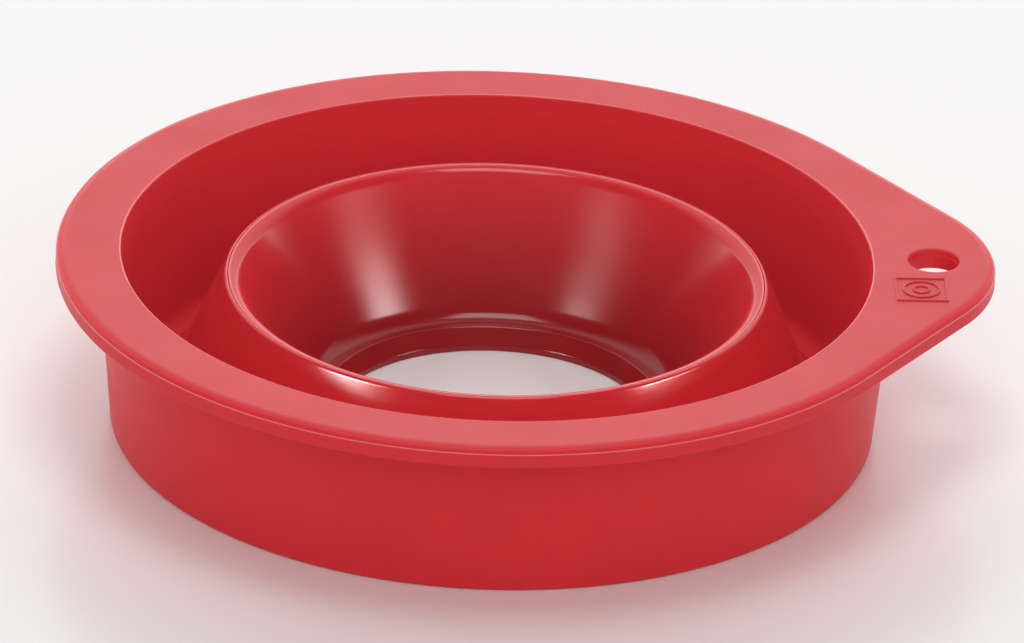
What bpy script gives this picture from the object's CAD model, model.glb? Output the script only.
# Ring cake pan of red silicone rubber, one moulding with a matte flange and glossy insides.
import math

import bmesh
import bpy
from mathutils import Matrix, Quaternion, Vector


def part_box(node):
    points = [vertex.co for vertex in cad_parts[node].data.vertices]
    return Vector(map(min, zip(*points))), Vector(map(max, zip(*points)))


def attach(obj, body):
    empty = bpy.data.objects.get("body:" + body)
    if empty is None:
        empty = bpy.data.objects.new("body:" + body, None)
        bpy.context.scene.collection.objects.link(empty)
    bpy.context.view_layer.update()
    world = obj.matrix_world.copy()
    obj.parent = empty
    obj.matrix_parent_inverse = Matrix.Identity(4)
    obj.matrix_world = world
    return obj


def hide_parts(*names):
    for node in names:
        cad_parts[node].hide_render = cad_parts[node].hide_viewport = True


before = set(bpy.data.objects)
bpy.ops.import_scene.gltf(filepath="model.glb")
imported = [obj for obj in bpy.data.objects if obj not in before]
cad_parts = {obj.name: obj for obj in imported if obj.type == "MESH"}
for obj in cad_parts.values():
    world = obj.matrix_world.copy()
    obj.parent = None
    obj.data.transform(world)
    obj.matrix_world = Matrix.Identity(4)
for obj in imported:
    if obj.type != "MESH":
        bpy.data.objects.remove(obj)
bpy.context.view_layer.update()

MM = 0.001

# Section of the pan, in millimetres, as the CAD has it
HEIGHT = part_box("rim_flange")[1].z / MM
FLANGE_RADIUS = -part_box("rim_flange")[0].x / MM
FLANGE_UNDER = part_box("rim_flange")[0].z / MM
MOUTH_RADIUS = 90.0
CHANNEL_FOOT_RADIUS = 86.8
CHANNEL_FLAT = 0.4
DRUM_TOP_RADIUS = 95.2
DRUM_BASE_RADIUS = 91.6
CROWN_WIDTH = 1.9
CROWN_DROP = 0.7
PARTING_DEPTH = 1.5
PARTING_STEP = 0.35
FLOOR_THICKNESS = 3.0
HUMP_FOOT = 79.7
CREST_RADIUS = 64.3
CREST_DROP = 6.5
CREST_INNER_ROUND = 3.6
CREST_OUTER_ROUND = 1.0
CREST_FLAT = 0.2
SHEET = 2.8
LIP_HEIGHT = 5.3
LIP_RADIUS = 40.3
LIP_ROUND = 0.9
LEDGE_WIDTH = 4.0
LEDGE_FLAT = 0.15
HOLE_RADIUS = 37.5
HOLE_LAND = 1.5

# Plan of the tab
TIP_CENTRE = 75.1
TIP_RADIUS = 44.4
FLANK_ANGLE = math.acos((FLANGE_RADIUS - TIP_RADIUS) / TIP_CENTRE)
HANG_CENTRE = 104.7
HANG_RADIUS = 5.8
HANG_ROUND = 0.6

# Emblem on the tab
EMBLEM_CENTRE = (100.8, -16.4)
EMBLEM_SIDE = 12.6
EMBLEM_RELIEF = 0.35
EMBLEM_LINE = 0.6

# Slopes of the funnel and of the hump's outer side: each runs from its foot to touch the crest
CREST_TOP = HEIGHT - CREST_DROP
CONE_FOOT = LIP_RADIUS + LEDGE_WIDTH


def slope_from(radius, z, crest_round):
    """Angle from horizontal of the line from a foot that touches the crest's round."""
    reach = Vector((CREST_RADIUS, CREST_TOP - crest_round)) - Vector((radius, z))
    return math.atan2(reach.y, abs(reach.x)) + math.asin(crest_round / reach.length)


FUNNEL_ANGLE = slope_from(CONE_FOOT, LIP_HEIGHT, CREST_INNER_ROUND)
SIDE_ANGLE = slope_from(HUMP_FOOT, FLOOR_THICKNESS, CREST_OUTER_ROUND)
FUNNEL_RISE = math.tan(FUNNEL_ANGLE)
SIDE_RISE = math.tan(SIDE_ANGLE)
CREST_INNER = CREST_RADIUS - CREST_FLAT / 2 - CREST_INNER_ROUND * math.tan(FUNNEL_ANGLE / 2)
CREST_OUTER = CREST_RADIUS + CREST_FLAT / 2 + CREST_OUTER_ROUND * math.tan(SIDE_ANGLE / 2)

# The underside of the sheet lies one thickness behind its face
FUNNEL_RUN = SHEET / math.sin(FUNNEL_ANGLE)
SIDE_RUN = SHEET / math.sin(SIDE_ANGLE)
GROOVE_DEPTH = (FUNNEL_RUN + SIDE_RUN + CREST_INNER - CREST_OUTER) / (
    1 / FUNNEL_RISE + 1 / SIDE_RISE)
GROOVE_TOP_Z = CREST_TOP - GROOVE_DEPTH
GROOVE_TOP = CREST_OUTER + GROOVE_DEPTH / SIDE_RISE - SIDE_RUN

# Flat faces where the zones meet
BASE_TOP = 13.0
CREST_CUT = GROOVE_TOP_Z - 1.1
COLLAR_TOP = 9.6
CHANNEL_MIDDLE = (HUMP_FOOT + CHANNEL_FOOT_RADIUS) / 2

# Depths below the top face where the flange's matte starts to give way, and where it has ended
MATTE_START = 0.08
MATTE_END = 0.3

# How finely the pieces are meshed
RING_SEGMENTS = 288
HANG_SEGMENTS = 64
FLANK_STEPS = 12
ARC_STEP = math.radians(6)
SUPPORT = 0.25
HANG_SUPPORT = 0.15
FLAT_MARGIN = 3.0
HANG_MARGIN = 2.0
SHARP = math.radians(38)

# A distance in millimetres under which a point counts as on a line, and one past the whole pan
ON_LINE = 1e-4
BEYOND = 200


# ---------- outlines ----------


def corner_arc(a, b, c, radius, support):
    """Points that round corner b, with a support point on each straight neighbour."""
    u, v = (a - b).normalized(), (c - b).normalized()
    half = u.angle(v) / 2
    reach = radius / math.tan(half)
    centre = b + (u + v).normalized() * (radius / math.sin(half))
    start, end = b + u * reach - centre, b + v * reach - centre
    turn = math.pi - 2 * half
    side = 1 if start.x * end.y - start.y * end.x > 0 else -1
    steps = max(2, math.ceil(turn / ARC_STEP))
    points = []
    if (a - b).length > reach + 3 * support:
        points.append(b + u * (reach + support))
    for i in range(steps + 1):
        t = side * turn * i / steps
        x = start.x * math.cos(t) - start.y * math.sin(t)
        y = start.x * math.sin(t) + start.y * math.cos(t)
        points.append(centre + Vector((x, y)))
    if (c - b).length > reach + 3 * support:
        points.append(b + v * (reach + support))
    return points


def rounded(corners, closed=True, support=SUPPORT):
    """A list of corners (x, y, radius) as points, each corner rounded by its own radius."""
    n = len(corners)
    flat = [Vector(c[:2]) for c in corners]
    points = []
    for i, (x, y, radius) in enumerate(corners):
        inner = closed or 0 < i < n - 1
        if radius > 0 and inner:
            points += corner_arc(flat[i - 1], flat[i], flat[(i + 1) % n], radius, support)
        else:
            points.append(flat[i])
    return points


def edge_corners(edge):
    """Outer edge of the flange and tab, from the top face to the underside."""
    upper = edge - PARTING_STEP
    return [
        (upper - CROWN_WIDTH, HEIGHT, 2.4),
        (upper, HEIGHT - CROWN_DROP, 0.7),
        (upper, HEIGHT - PARTING_DEPTH, 0.05),
        (edge, HEIGHT - PARTING_DEPTH, 0.12),
        (edge, FLANGE_UNDER, 0.6),
    ]


def section_corners():
    """The whole section of the pan, as (radius, height, round)."""
    wall_angle = math.atan2(HEIGHT - FLOOR_THICKNESS, MOUTH_RADIUS - CHANNEL_FOOT_RADIUS)
    channel_round = (CHANNEL_FOOT_RADIUS - HUMP_FOOT - CHANNEL_FLAT) / (
        math.tan(SIDE_ANGLE / 2) + math.tan(wall_angle / 2))
    lip_slope = math.atan2(LIP_HEIGHT - HOLE_LAND, LIP_RADIUS - HOLE_RADIUS)
    cone_round = (LEDGE_WIDTH - LEDGE_FLAT - LIP_ROUND * math.tan(lip_slope / 2)) / math.tan(
        FUNNEL_ANGLE / 2)
    groove_foot = CREST_OUTER + CREST_TOP / SIDE_RISE - SIDE_RUN
    cone_back = CONE_FOOT + FUNNEL_RUN - LIP_HEIGHT / FUNNEL_RISE
    return [
        (HOLE_RADIUS, 0, 0.25),
        (HOLE_RADIUS, HOLE_LAND, 1.0),
        (LIP_RADIUS, LIP_HEIGHT, LIP_ROUND),
        (CONE_FOOT, LIP_HEIGHT, cone_round),
        (CREST_INNER, CREST_TOP, CREST_INNER_ROUND),
        (CREST_OUTER, CREST_TOP, CREST_OUTER_ROUND),
        (HUMP_FOOT, FLOOR_THICKNESS, channel_round),
        (CHANNEL_FOOT_RADIUS, FLOOR_THICKNESS, channel_round),
        (MOUTH_RADIUS, HEIGHT, 0.7),
        *edge_corners(FLANGE_RADIUS),
        (DRUM_TOP_RADIUS, FLANGE_UNDER, 1.4),
        (DRUM_BASE_RADIUS, 0, 1.2),
        (groove_foot, 0, 3.0),
        (GROOVE_TOP, GROOVE_TOP_Z, 0.4),
        (cone_back, 0, 0.25),
    ]


def clip(points, axis, limit, keep_above):
    """The part of an outline on one side of a line of constant radius (0) or height (1). What lies
    on the line counts as above it."""
    kept = []
    for i, p in enumerate(points):
        q = points[(i + 1) % len(points)]
        p_in = (p[axis] > limit - ON_LINE) == keep_above
        q_in = (q[axis] > limit - ON_LINE) == keep_above
        if p_in:
            kept.append(p)
        if p_in != q_in:
            kept.append(p.lerp(q, (limit - p[axis]) / (q[axis] - p[axis])))
    return kept


def zone(low, high, inner, outer):
    """The section's outline between two heights and two radii."""
    points = rounded(section_corners())
    for axis, limit, above in ((0, inner, True), (0, outer, False), (1, low, True), (1, high, False)):
        points = clip(points, axis, limit, above)
    return [p for i, p in enumerate(points) if (p - points[i - 1]).length > ON_LINE]


# ---------- meshes ----------


def finish_mesh(name, bm):
    """Turns a bmesh into a smooth-shaded piece with hard edges only at real corners."""
    bmesh.ops.remove_doubles(bm, verts=bm.verts, dist=1e-7)
    bmesh.ops.recalc_face_normals(bm, faces=bm.faces)
    for face in bm.faces:
        face.smooth = True
    for edge in bm.edges:
        edge.smooth = len(edge.link_faces) == 2 and edge.calc_face_angle(math.pi) < SHARP
    mesh = bpy.data.meshes.new(name)
    bm.to_mesh(mesh)
    bm.free()
    piece = bpy.data.objects.new(name, mesh)
    bpy.context.scene.collection.objects.link(piece)
    return piece


def sweep_ring(bm, outline, start=0.0, turn=2 * math.pi, centre=0.0):
    """Turns an outline about a vertical axis at x = centre. Part turns get end faces."""
    full = turn > 2 * math.pi - 1e-6
    count = max(3, round(RING_SEGMENTS * turn / (2 * math.pi)))
    rings = []
    for i in range(count if full else count + 1):
        t = start + turn * i / count
        c, s = math.cos(t), math.sin(t)
        rings.append([bm.verts.new(((centre + p.x * c) * MM, p.x * s * MM, p.y * MM))
                      for p in outline])
    n = len(outline)
    for i in range(count):
        a, b = rings[i], rings[(i + 1) % len(rings)]
        for j in range(n):
            bm.faces.new((a[j], b[j], b[(j + 1) % n], a[(j + 1) % n]))
    if not full:
        bm.faces.new(rings[0])
        bm.faces.new(rings[-1])


def ring_piece(name, node, low, high, inner, outer, start=0.0, turn=2 * math.pi):
    """A zone of the section as a closed ring, standing for its CAD node."""
    bm = bmesh.new()
    sweep_ring(bm, zone(low, high, inner, outer), start, turn)
    piece = finish_mesh(name, bm)
    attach(piece, "root")
    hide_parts(node)
    return piece


def tab_stations():
    """Points and outward directions round the tab's outline, from one flank's end to the other."""
    stations = []
    flank = TIP_CENTRE * math.sin(FLANK_ANGLE)
    tip_steps = round(RING_SEGMENTS * FLANK_ANGLE / math.pi)
    up = Vector((math.cos(FLANK_ANGLE), math.sin(FLANK_ANGLE)))
    along = Vector((up.y, -up.x))
    for i in range(FLANK_STEPS):
        stations.append((up * FLANGE_RADIUS + along * (flank * i / FLANK_STEPS), up))
    for i in range(tip_steps + 1):
        t = FLANK_ANGLE * (1 - 2 * i / tip_steps)
        out = Vector((math.cos(t), math.sin(t)))
        stations.append((Vector((TIP_CENTRE, 0)) + out * TIP_RADIUS, out))
    mirrored = [(Vector((p.x, -p.y)), Vector((d.x, -d.y))) for p, d in stations[:FLANK_STEPS]]
    return stations + mirrored[::-1]


def bridge(bm, loops):
    """Quads between a list of open vertex loops."""
    for a, b in zip(loops, loops[1:]):
        for j in range(len(a) - 1):
            bm.faces.new((a[j], a[j + 1], b[j + 1], b[j]))


def fill(bm, loops):
    """A flat face with holes, between closed vertex loops."""
    edges = []
    for loop in loops:
        for a, b in zip(loop, loop[1:] + loop[:1]):
            edges.append(bm.edges.get((a, b)) or bm.edges.new((a, b)))
    bmesh.ops.triangle_fill(bm, edges=edges, use_beauty=True)


def tab_piece():
    """The tab: a crowned edge band along its outline, the mouth's edge and the hanging hole."""
    bm = bmesh.new()
    edge = edge_corners(0)
    band = rounded([(-FLAT_MARGIN, HEIGHT, 0), *edge, (-FLAT_MARGIN, FLANGE_UNDER, 0)], closed=False)
    outer = [[bm.verts.new(((p.x + d.x * b.x) * MM, (p.y + d.y * b.x) * MM, b.y * MM))
              for b in band] for p, d in tab_stations()]
    bridge(bm, outer)

    # Inner band: the mouth's rounded edge, from the top face down to the underside
    mouth = zone(FLANGE_UNDER, BEYOND, CHANNEL_MIDDLE, MOUTH_RADIUS + 2)
    top_i = max(range(len(mouth)), key=lambda i: (round(mouth[i].y, 5), mouth[i].x))
    mouth = mouth[top_i:] + mouth[:top_i]
    if mouth[1].x > mouth[-1].x - 1e-6 and mouth[1].y < HEIGHT - 1e-3:
        mouth = [mouth[0]] + mouth[:0:-1]
    steps = round(RING_SEGMENTS * FLANK_ANGLE / math.pi)
    inner = []
    for i in range(steps + 1):
        t = FLANK_ANGLE * (1 - 2 * i / steps)
        inner.append([bm.verts.new((p.x * math.cos(t) * MM, p.x * math.sin(t) * MM, p.y * MM))
                      for p in mouth])
    bridge(bm, inner)

    # Hanging hole, with the parting step and a rounded upper edge
    upper = HANG_RADIUS + PARTING_STEP
    step_z = HEIGHT - PARTING_DEPTH
    hole = rounded([
        (upper + HANG_MARGIN, HEIGHT, 0), (upper, HEIGHT, HANG_ROUND), (upper, step_z, 0.06),
        (HANG_RADIUS, step_z, 0.12), (HANG_RADIUS, FLANGE_UNDER, 0.3),
        (HANG_RADIUS + HANG_MARGIN, FLANGE_UNDER, 0)], closed=False, support=HANG_SUPPORT)
    rings = []
    for i in range(HANG_SEGMENTS + 1):
        t = 2 * math.pi * (i % HANG_SEGMENTS) / HANG_SEGMENTS
        rings.append(rings[0] if i == HANG_SEGMENTS else [
            bm.verts.new(((HANG_CENTRE + p.x * math.cos(t)) * MM, p.x * math.sin(t) * MM, p.y * MM))
            for p in hole])
    bridge(bm, rings)

    # Flat faces above and below, and the two end faces against the rim
    for end in (0, -1):
        loop = [s[end] for s in outer] + [s[end] for s in reversed(inner)]
        fill(bm, [loop, [r[end] for r in rings[:-1]]])
    for end in (0, -1):
        bm.faces.new(outer[end] + list(reversed(inner[end])))
    piece = finish_mesh("hang_tab_moulded", bm)
    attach(piece, "root")
    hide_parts("hang_tab")
    return piece


def emblem_piece():
    """Generic raised mark: a square frame round a ring cake seen from above."""
    bm = bmesh.new()
    half_line = EMBLEM_LINE / 2

    def band(shape, steps):
        """A raised line of the emblem along a closed path given by shape(step, offset)."""
        ease = EMBLEM_RELIEF * 0.4
        shoulder = EMBLEM_RELIEF - ease
        profile = [
            (-half_line, 0), (-half_line, shoulder), (-half_line + ease, EMBLEM_RELIEF),
            (half_line - ease, EMBLEM_RELIEF), (half_line, shoulder), (half_line, 0)]
        loops = []
        for i in range(steps):
            loops.append([])
            for offset, z in profile:
                x, y = shape(i, offset)
                loops[-1].append(bm.verts.new(((EMBLEM_CENTRE[0] + x) * MM,
                                               (EMBLEM_CENTRE[1] + y) * MM, (HEIGHT + z) * MM)))
        n = len(profile)
        for i in range(steps):
            a, b = loops[i], loops[(i + 1) % steps]
            for j in range(n):
                bm.faces.new((a[j], a[(j + 1) % n], b[(j + 1) % n], b[j]))

    def square(i, offset):
        reach = EMBLEM_SIDE / 2 - half_line + offset
        return [(reach, reach), (-reach, reach), (-reach, -reach), (reach, -reach)][i]

    def circle(radius, steps):
        return lambda i, offset: ((radius + offset) * math.cos(2 * math.pi * i / steps),
                                  (radius + offset) * math.sin(2 * math.pi * i / steps))

    band(square, 4)
    band(circle(EMBLEM_SIDE * 0.34, 48), 48)
    band(circle(EMBLEM_SIDE * 0.15, 32), 32)
    piece = finish_mesh("emblem_raised", bm)
    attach(piece, "root")
    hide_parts("emblem")
    return piece


# ---------- materials ----------


def math_node(tree, operation, *values):
    """A math node on sockets and numbers."""
    node = tree.nodes.new("ShaderNodeMath")
    node.operation = operation
    for i, value in enumerate(values):
        if isinstance(value, (int, float)):
            node.inputs[i].default_value = value
        else:
            tree.links.new(value, node.inputs[i])
    return node.outputs["Value"]


def ramp(tree, source, start, end, low=0, high=1, smooth=False):
    """Goes from low where the source is at start to high where it is at end."""
    node = tree.nodes.new("ShaderNodeMapRange")
    if smooth:
        node.interpolation_type = "SMOOTHSTEP"
    node.inputs["From Min"].default_value = start
    node.inputs["From Max"].default_value = end
    node.inputs["To Min"].default_value = low
    node.inputs["To Max"].default_value = high
    tree.links.new(source, node.inputs["Value"])
    return node.outputs["Result"]


def linear(r, g, b):
    """sRGB 0-255 as a linear colour."""
    out = []
    for v in (r, g, b):
        v /= 255
        out.append(v / 12.92 if v <= 0.04045 else ((v + 0.055) / 1.055) ** 2.4)
    return (*out, 1)


def silicone(name, colour, roughness, rough_spread, bump, grain, specular, glow):
    """Moulded silicone rubber: uneven tint, cloudy gloss and a fine moulded grain. The glow
    stands for the light that shines through the thin rubber."""
    mat = bpy.data.materials.new(name)
    mat.use_nodes = True
    tree = mat.node_tree
    nodes, links = tree.nodes, tree.links
    shader = nodes["Principled BSDF"]
    shader.inputs["Specular IOR Level"].default_value = specular
    shader.inputs["Emission Color"].default_value = GLOW_COLOUR
    shader.inputs["Emission Strength"].default_value = glow
    place = nodes.new("ShaderNodeTexCoord")

    def noise(scale, detail, fineness=0.5):
        node = nodes.new("ShaderNodeTexNoise")
        node.inputs["Scale"].default_value = scale
        node.inputs["Detail"].default_value = detail
        node.inputs["Roughness"].default_value = fineness
        links.new(place.outputs["Object"], node.inputs["Vector"])
        return node.outputs["Fac"]

    tint = nodes.new("ShaderNodeMix")
    tint.data_type = "RGBA"
    tint.inputs["A"].default_value = [c * 0.94 for c in colour[:3]] + [1]
    tint.inputs["B"].default_value = [min(1, c * 1.05) for c in colour[:3]] + [1]
    links.new(ramp(tree, noise(22, 9, 0.8), 0.3, 0.7), tint.inputs["Factor"])
    links.new(tint.outputs["Result"], shader.inputs["Base Color"])
    cloudy = ramp(tree, noise(60, 4), 0.3, 0.7, roughness - rough_spread, roughness + rough_spread)
    links.new(cloudy, shader.inputs["Roughness"])
    relief = nodes.new("ShaderNodeBump")
    relief.inputs["Strength"].default_value = bump
    relief.inputs["Distance"].default_value = 0.0001
    links.new(noise(grain, 2), relief.inputs["Height"])
    links.new(relief.outputs["Normal"], shader.inputs["Normal"])
    return mat


def places(mat):
    """Sockets with a point's distance from the pan's axis and its height, in metres."""
    nodes, links = mat.node_tree.nodes, mat.node_tree.links
    place = nodes.new("ShaderNodeTexCoord")
    flat = nodes.new("ShaderNodeVectorMath")
    flat.operation = "MULTIPLY"
    flat.inputs[1].default_value = (1, 1, 0)
    links.new(place.outputs["Object"], flat.inputs[0])
    radius = nodes.new("ShaderNodeVectorMath")
    radius.operation = "LENGTH"
    links.new(flat.outputs["Vector"], radius.inputs[0])
    axes = nodes.new("ShaderNodeSeparateXYZ")
    links.new(place.outputs["Object"], axes.inputs["Vector"])
    return radius.outputs["Value"], axes.outputs["Z"]


def blend_look(mat, share, colour, roughness, specular, glow):
    """Blends another look into a material, by the share."""
    nodes, links = mat.node_tree.nodes, mat.node_tree.links
    shader = nodes["Principled BSDF"]
    changes = (("Base Color", "RGBA", colour), ("Roughness", "FLOAT", roughness),
               ("Specular IOR Level", "FLOAT", specular), ("Emission Strength", "FLOAT", glow))
    for name, kind, value in changes:
        target = shader.inputs[name]
        mix = nodes.new("ShaderNodeMix")
        mix.data_type = kind
        before, after = [i for i in mix.inputs if i.enabled and i.name in ("A", "B")]
        if target.links:
            links.new(target.links[0].from_socket, before)
        else:
            before.default_value = target.default_value
        after.default_value = value
        links.new(share, mix.inputs["Factor"])
        links.new([o for o in mix.outputs if o.enabled][0], target)


def darken_down(mat, low, high, floor_level):
    """Dims a material's colour and glow evenly from the height high down to the height low, where
    the level is floor_level."""
    nodes, links = mat.node_tree.nodes, mat.node_tree.links
    shader = nodes["Principled BSDF"]
    level = ramp(mat.node_tree, places(mat)[1], low * MM, high * MM, floor_level)
    dimmed = nodes.new("ShaderNodeVectorMath")
    dimmed.operation = "SCALE"
    links.new(shader.inputs["Base Color"].links[0].from_socket, dimmed.inputs[0])
    links.new(level, dimmed.inputs["Scale"])
    links.new(dimmed.outputs["Vector"], shader.inputs["Base Color"])
    glow = math_node(mat.node_tree, "MULTIPLY", level, shader.inputs["Emission Strength"].default_value)
    links.new(glow, shader.inputs["Emission Strength"])


def clear_of_hanging_hole(mat):
    """0 in and round the hanging hole, 1 elsewhere."""
    tree = mat.node_tree
    place = tree.nodes.new("ShaderNodeTexCoord")
    gap = tree.nodes.new("ShaderNodeVectorMath")
    gap.operation = "DISTANCE"
    gap.inputs[1].default_value = (HANG_CENTRE * MM, 0, HEIGHT * MM)
    tree.links.new(place.outputs["Object"], gap.inputs[0])
    return math_node(tree, "GREATER_THAN", gap.outputs["Value"], (HANG_RADIUS + 2) * MM)


def dress_flange(mat):
    """The matte is on the flange's top only. Its edges are satin, with a thin pale line round the
    mouth and along the parting line."""
    tree = mat.node_tree
    radius, height = places(mat)
    below_face = ramp(tree, height, (HEIGHT - MATTE_START) * MM, (HEIGHT - MATTE_END) * MM)
    blend_look(mat, below_face, SATIN_RED, 0.4, 0.2, SATIN_GLOW)
    mouth = math_node(tree, "COMPARE", radius, (MOUTH_RADIUS + 0.3) * MM, 0.18 * MM)
    parting = math_node(tree, "COMPARE", height, (HEIGHT - PARTING_DEPTH) * MM, 0.1 * MM)
    outside = math_node(tree, "GREATER_THAN", radius, DRUM_TOP_RADIUS * MM)
    outer_edge = math_node(tree, "MULTIPLY", outside, clear_of_hanging_hole(mat))
    line = math_node(tree, "MAXIMUM", mouth, math_node(tree, "MULTIPLY", parting, outer_edge))
    blend_look(mat, line, EDGE_PINK, 0.35, 0.5, 0.04)


def dress(piece, material):
    """Gives a piece its material."""
    piece.data.materials.clear()
    piece.data.materials.append(material)


# ---------- the pan ----------

GLOW_COLOUR = (1, 0.11, 0.14, 1)

matte = silicone("silicone_matte", linear(206, 47, 53), 0.5, 0.04, 0.8, 1500, 0.68, 0)
SATIN_RED = linear(207, 41, 48)
SATIN_GLOW = 0.06
GLOSS_RED = linear(199, 38, 44)
GLOSS_GLOW = 0.05
EDGE_PINK = linear(226, 110, 116)
satin = silicone("silicone_satin", SATIN_RED, 0.4, 0.03, 0.15, 2400, 0.12, SATIN_GLOW)
gloss = silicone("silicone_gloss", GLOSS_RED, 0.16, 0.02, 0.04, 1500, 0.45, GLOSS_GLOW)
funnel = silicone("silicone_funnel", GLOSS_RED, 0.16, 0.02, 0.04, 1500, 0.45, GLOSS_GLOW)
darken_down(funnel, 6, 36, 0.47)
crest_line = ramp(funnel.node_tree, places(funnel)[1], (CREST_TOP - 0.06) * MM, (CREST_TOP - 0.005) * MM)
blend_look(funnel, crest_line, EDGE_PINK, 0.3, 0.5, 0.1)
dress_flange(matte)

full_turn = 2 * math.pi
rim = ring_piece("rim_flange_moulded", "rim_flange", FLANGE_UNDER, BEYOND, CHANNEL_MIDDLE, BEYOND,
                 FLANK_ANGLE, full_turn - 2 * FLANK_ANGLE)
tab = tab_piece()
emblem = emblem_piece()
wall = ring_piece("outer_wall_moulded", "outer_wall", BASE_TOP, FLANGE_UNDER, CHANNEL_MIDDLE, BEYOND)
wall_foot = ring_piece("wall_foot_moulded", "wall_foot", 0, BASE_TOP, CHANNEL_MIDDLE, BEYOND)
hump_foot = ring_piece("hump_foot_moulded", "hump_foot", 0, BASE_TOP, GROOVE_TOP, CHANNEL_MIDDLE)
inner_wall = ring_piece("inner_wall_moulded", "inner_wall", BASE_TOP, CREST_CUT, GROOVE_TOP,
                        CHANNEL_MIDDLE)
crest = ring_piece("crest_bead_moulded", "crest_bead", CREST_CUT, BEYOND, LIP_RADIUS, HUMP_FOOT)
cone = ring_piece("funnel_cone_moulded", "funnel_cone", COLLAR_TOP, CREST_CUT, LIP_RADIUS,
                  GROOVE_TOP)
collar = ring_piece("centre_collar_moulded", "centre_collar", 0, COLLAR_TOP, 0, GROOVE_TOP)

for piece in (rim, tab, emblem):
    dress(piece, matte)
for piece in (wall, wall_foot):
    dress(piece, satin)
for piece in (hump_foot, inner_wall):
    dress(piece, gloss)
for piece in (crest, cone, collar):
    dress(piece, funnel)


# ---------- floor, world, lights ----------


def make_floor():
    """A pale table, a hair below the pan's foot so that the two don't share a plane."""
    mesh = bpy.data.meshes.new("floor")
    reach, z = 4, -0.00002
    corners = [(-reach, -reach, z), (reach, -reach, z), (reach, reach, z), (-reach, reach, z)]
    mesh.from_pydata(corners, [], [(0, 1, 2, 3)])
    floor = bpy.data.objects.new("floor", mesh)
    bpy.context.scene.collection.objects.link(floor)
    mat = bpy.data.materials.new("table_white")
    mat.use_nodes = True
    shader = mat.node_tree.nodes["Principled BSDF"]
    shader.inputs["Base Color"].default_value = (0.86, 0.85, 0.85, 1)
    shader.inputs["Roughness"].default_value = 0.22
    shader.inputs["Specular IOR Level"].default_value = 0.8
    mesh.materials.append(mat)


def make_world(parts):
    """White studio light from some directions only. Each part is a strength and its limits: an
    axis, where along it the light starts, and where it is full."""
    world = bpy.data.worlds.new("studio")
    bpy.context.scene.world = world
    world.use_nodes = True
    tree = world.node_tree
    direction = tree.nodes.new("ShaderNodeTexCoord")
    axes = tree.nodes.new("ShaderNodeSeparateXYZ")
    tree.links.new(direction.outputs["Generated"], axes.inputs["Vector"])

    total = None
    for strength, limits in parts:
        level = None
        for axis, none_at, full_at in limits:
            high = 1 if level else strength
            mask = ramp(tree, axes.outputs[axis], none_at, full_at, high=high, smooth=True)
            level = math_node(tree, "MULTIPLY", level, mask) if level else mask
        total = math_node(tree, "ADD", total, level) if total else level
    background = tree.nodes["Background"]
    background.inputs["Color"].default_value = (1, 1, 1, 1)
    tree.links.new(total, background.inputs["Strength"])


def softbox(name, azimuth, elevation, distance, width, height, power, use="both"):
    """An area light aimed at the pan. Azimuth 0 is the camera's side, positive towards +X. It is
    used for "both", or only to "fill", or only to "shine" in the pan's glossy pieces."""
    a, e = math.radians(azimuth), math.radians(elevation)
    out = Vector((math.sin(a) * math.cos(e), -math.cos(a) * math.cos(e), math.sin(e)))
    light = bpy.data.lights.new(name, "AREA")
    light.shape = "RECTANGLE"
    light.size, light.size_y, light.energy = width, height, power
    lamp = bpy.data.objects.new(name, light)
    lamp.location = out * distance + Vector((0, 0, 0.03))
    lamp.rotation_mode = "QUATERNION"
    lamp.rotation_quaternion = (-out).to_track_quat("-Z", "Y")
    lamp.visible_camera = False
    lamp.visible_glossy = use != "fill"
    lamp.visible_diffuse = use != "shine"
    if use == "shine":
        lamp.light_linking.receiver_collection = glossy_pieces
    bpy.context.scene.collection.objects.link(lamp)
    return lamp


def fade_upwards(lamp, roll):
    """Makes a box soft at its sides and brightest low down, and rolls it about its own axis."""
    lamp.rotation_quaternion = lamp.rotation_quaternion @ Quaternion((0, 0, 1), math.radians(roll))
    lamp.data.use_nodes = True
    tree = lamp.data.node_tree
    place = tree.nodes.new("ShaderNodeNewGeometry")
    axes = tree.nodes.new("ShaderNodeSeparateXYZ")
    tree.links.new(place.outputs["Parametric"], axes.inputs["Vector"])
    level = None
    for axis, none_at, full_at in (("X", 0, 0.45), ("X", 1, 0.55), ("Y", 0, 0.15), ("Y", 0.45, 0.17)):
        mask = ramp(tree, axes.outputs[axis], none_at, full_at, smooth=True)
        level = math_node(tree, "MULTIPLY", level, mask) if level else mask
    tree.links.new(level, tree.nodes["Emission"].inputs["Strength"])


glossy_pieces = bpy.data.collections.new("glossy_pieces")
for piece in (hump_foot, inner_wall, crest, cone, collar):
    glossy_pieces.objects.link(piece)

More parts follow.
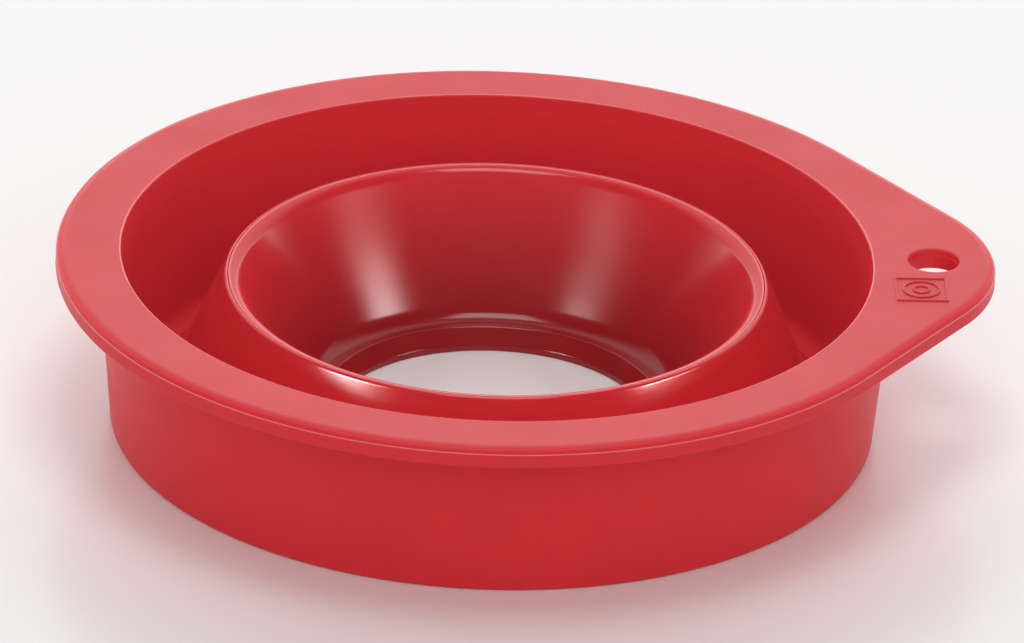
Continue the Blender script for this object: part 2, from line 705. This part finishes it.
make_floor()
make_world([
    (0.95, [("Z", 0.0, 0.2), ("Y", 0.15, 0.6)]),
    (2.6, [("Z", 0.16, 0.06), ("Y", -0.7, -0.4)]),
])
# Name, azimuth, elevation, distance, width, height, power and use
fade_upwards(softbox("streak_left", 70.1, 23.5, 0.457, 0.28, 0.15, 9, "shine"), -18)
fade_upwards(softbox("streak_right", -61, 23.5, 0.455, 0.27, 0.15, 15, "shine"), 18)
softbox("glint_right", 62, 13, 0.556, 0.09, 0.08, 1.2, "shine")
softbox("glint_left", -62, 13, 0.556, 0.09, 0.08, 0.3, "shine")
softbox("overhead", 0, 88, 1.15, 0.5, 0.55, 3.6)
softbox("fill_front", 0, 22, 3.0, 4.5, 1.9, 32, "fill")
softbox("fill_front_high", 0, 50, 3.0, 3.6, 1.6, 29, "fill")
softbox("fill_back", 180, 25, 1.7, 2.6, 1.2, 18, "fill")
softbox("fill_left", -90, 25, 1.7, 2.2, 1.2, 3.5, "fill")
softbox("fill_right", 90, 25, 1.7, 2.2, 1.2, 4, "fill")


# ---------- camera ----------


def make_camera():
    """A long lens far away. Its place is counted from the centre of the flange's top face."""
    tab_turn = math.radians(-2.9)
    back, rise = 3.4522, 1.6544
    yaw, pitch, roll = 0.0012, 0.45108, 0.0366
    forward = Vector((math.sin(yaw) * math.cos(pitch), math.cos(yaw) * math.cos(pitch),
                      -math.sin(pitch)))
    level = Vector((math.cos(yaw), -math.sin(yaw), 0))
    up = level.cross(forward)
    right = level * math.cos(roll) + up * math.sin(roll)
    top = up * math.cos(roll) - level * math.sin(roll)
    place = Vector((0, -back, rise + HEIGHT * MM))
    stand = Matrix((
        (right.x, top.x, -forward.x, place.x),
        (right.y, top.y, -forward.y, place.y),
        (right.z, top.z, -forward.z, place.z),
        (0, 0, 0, 1)))
    data = bpy.data.cameras.new("camera")
    data.sensor_width = 36
    data.lens = 562.5
    data.clip_end = 50
    camera = bpy.data.objects.new("camera", data)
    camera.matrix_world = Matrix.Rotation(tab_turn, 4, "Z") @ stand
    bpy.context.scene.collection.objects.link(camera)
    bpy.context.scene.camera = camera


make_camera()
bpy.context.scene.view_settings.view_transform = "Standard"
